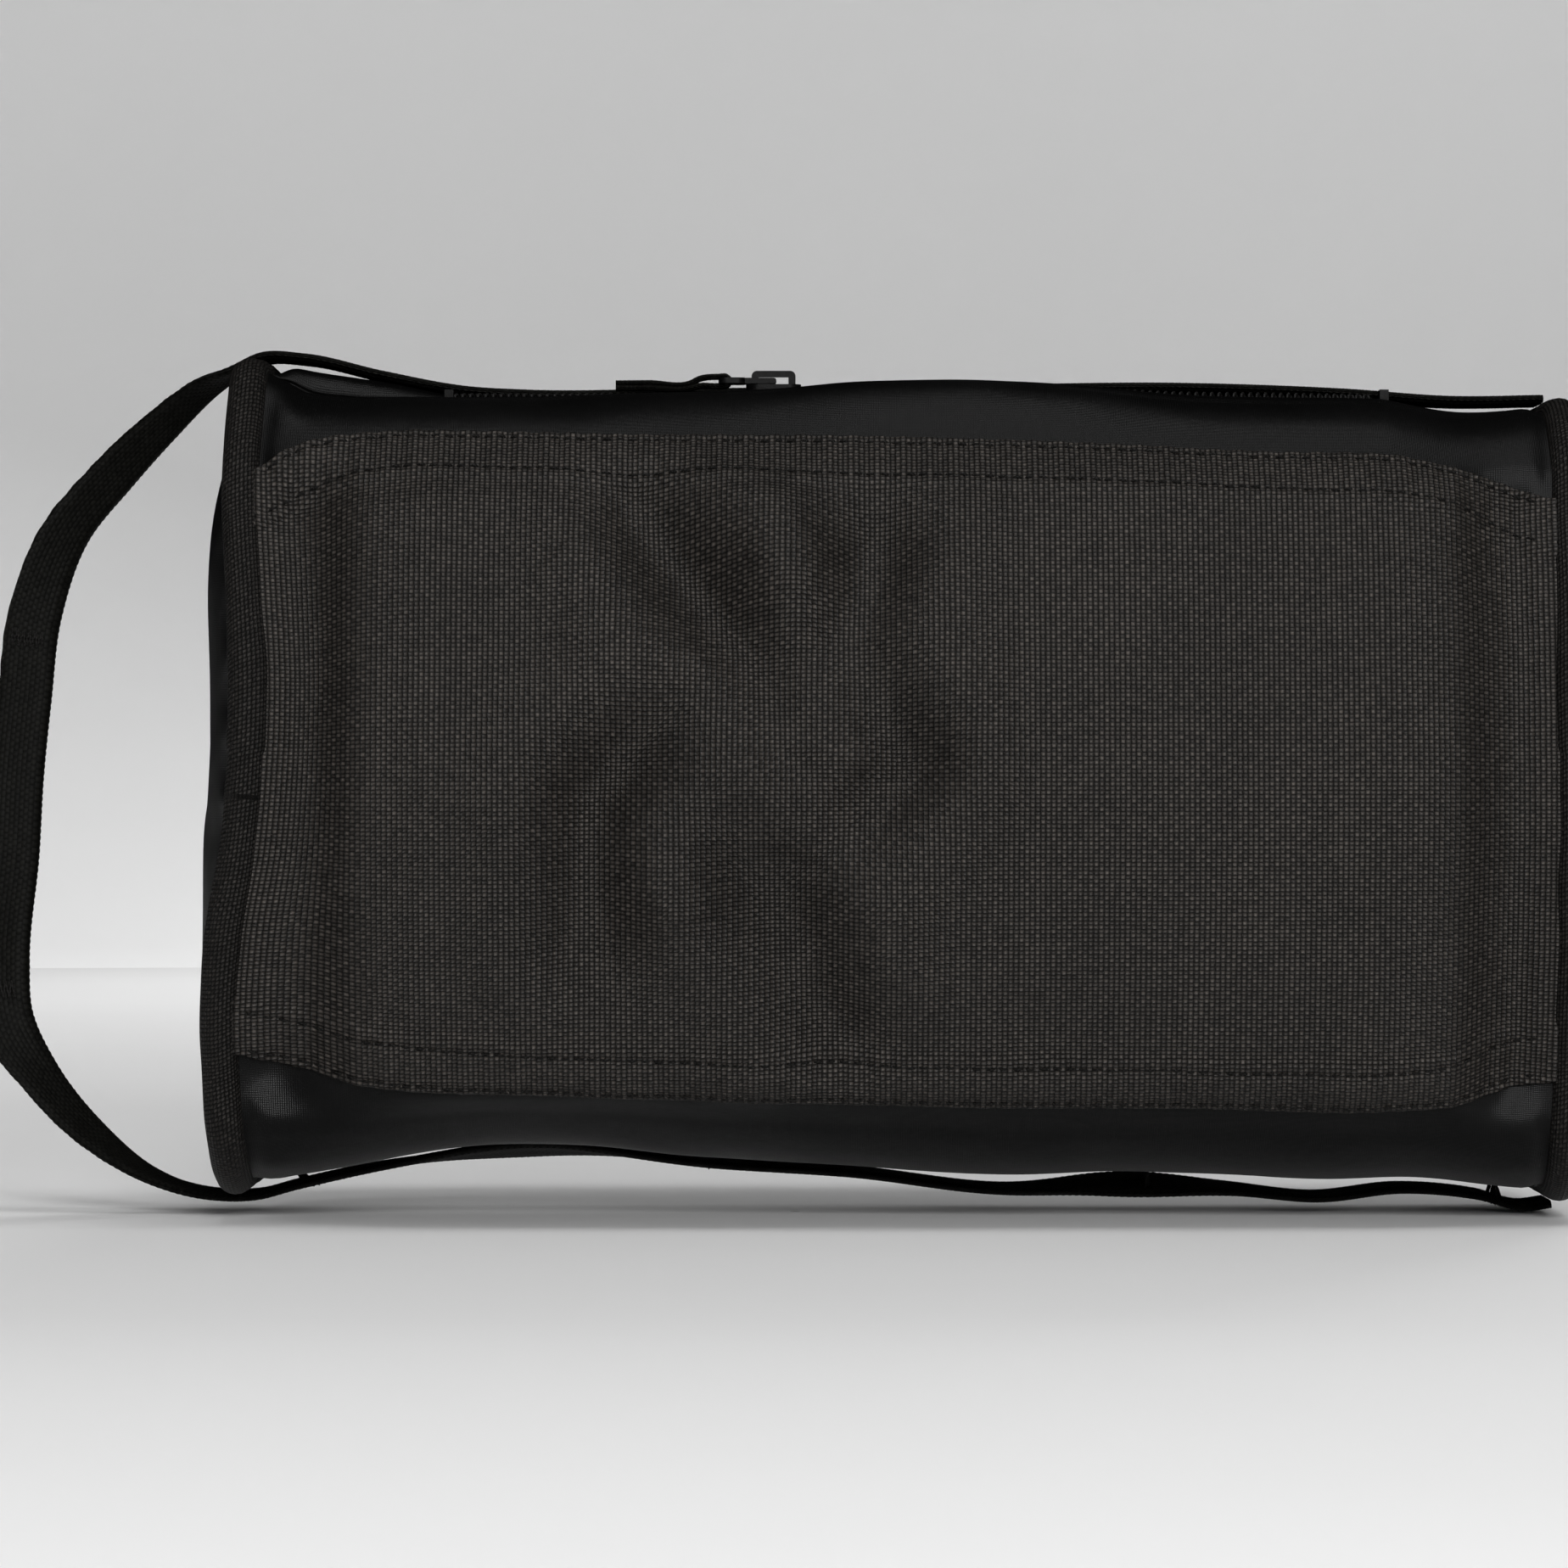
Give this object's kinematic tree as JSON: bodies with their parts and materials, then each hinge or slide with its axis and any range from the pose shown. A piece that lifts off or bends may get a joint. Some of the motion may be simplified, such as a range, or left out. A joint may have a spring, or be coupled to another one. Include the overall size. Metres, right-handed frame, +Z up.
{
  "type": "shaving kit bag",
  "caption": "Soft box-shaped toiletry bag with a zip along the top, piped ends and a webbing loop handle at one end.",
  "frame": {"origin": "under the middle of the whole object, on the surface it stands on", "axes": "+X along the bag, from the handle end to the plain end; +Z up; -Y towards the front panel"},
  "size_m": [0.2957, 0.1298, 0.156],
  "materials": {
    "woven_fabric": "matt plain-weave polyester, brown-grey",
    "coated_fabric": "smooth coated fabric, soft satin",
    "piping_fabric": "woven bias strip, matt",
    "cord_filler": "polyethylene piping cord",
    "binding_tape": "woven binding tape",
    "lining": "thin coated nylon lining, semi-matt",
    "webbing": "ribbed polypropylene webbing",
    "zip_tape": "knitted zip tape",
    "zip_coil": "nylon coil",
    "slider_metal": "black enamelled zinc die-casting",
    "ribbon": "grosgrain ribbon",
    "thread": "polyester sewing thread"
  },
  "bodies": {
    "bag": {"front_woven_panel": "woven_fabric", "back_woven_panel": "woven_fabric", "front_top_strip": "coated_fabric", "back_top_strip": "coated_fabric", "bottom_panel": "coated_fabric", "front_topstitch": "thread", "back_topstitch": "thread", "lining_wrap": "lining", "zip_tape_front": "zip_tape", "zip_tape_back": "zip_tape", "zip_coil_front": "zip_coil", "zip_coil_back": "zip_coil", "zip_stops": "slider_metal", "zip_end_tab_left": "coated_fabric", "zip_end_tab_right": "coated_fabric", "webbing_top": "webbing", "webbing_bottom": "webbing", "webbing_tacks": "thread", "left_end_panel": "coated_fabric", "left_piping_cover": "piping_fabric", "left_piping_cord": "cord_filler", "left_seam_binding": "binding_tape", "left_lining_end": "lining", "right_end_panel": "coated_fabric", "right_piping_cover": "piping_fabric", "right_piping_cord": "cord_filler", "right_seam_binding": "binding_tape", "right_lining_end": "lining"},
    "slider": {"slider_body": "slider_metal", "slider_crown": "slider_metal"},
    "pull": {"pull_link": "slider_metal", "pull_ribbon": "ribbon"},
    "handle": {"handle_strap": "webbing", "handle_grip_tacks": "thread"}
  },
  "joints": [
    {"name": "slider_travel", "type": "slide", "parent": "bag", "child": "slider", "axis": [1, 0, 0], "range_m": [-0.052, 0.1045], "deforming": ["zip_coil_front", "zip_coil_back", "zip_tape_front", "zip_tape_back"]},
    {"name": "pull_flip", "type": "hinge", "parent": "slider", "child": "pull", "pos_m": [-0.004, -0.018, 0.15215], "axis": [0, 1, 0], "range_deg": [0, 180]},
    {"name": "handle_swing", "type": "hinge", "parent": "bag", "child": "handle", "pos_m": [-0.098, 0, 0.078], "axis": [0, 0, 1], "range_deg": [-45, 45]}
  ]
}
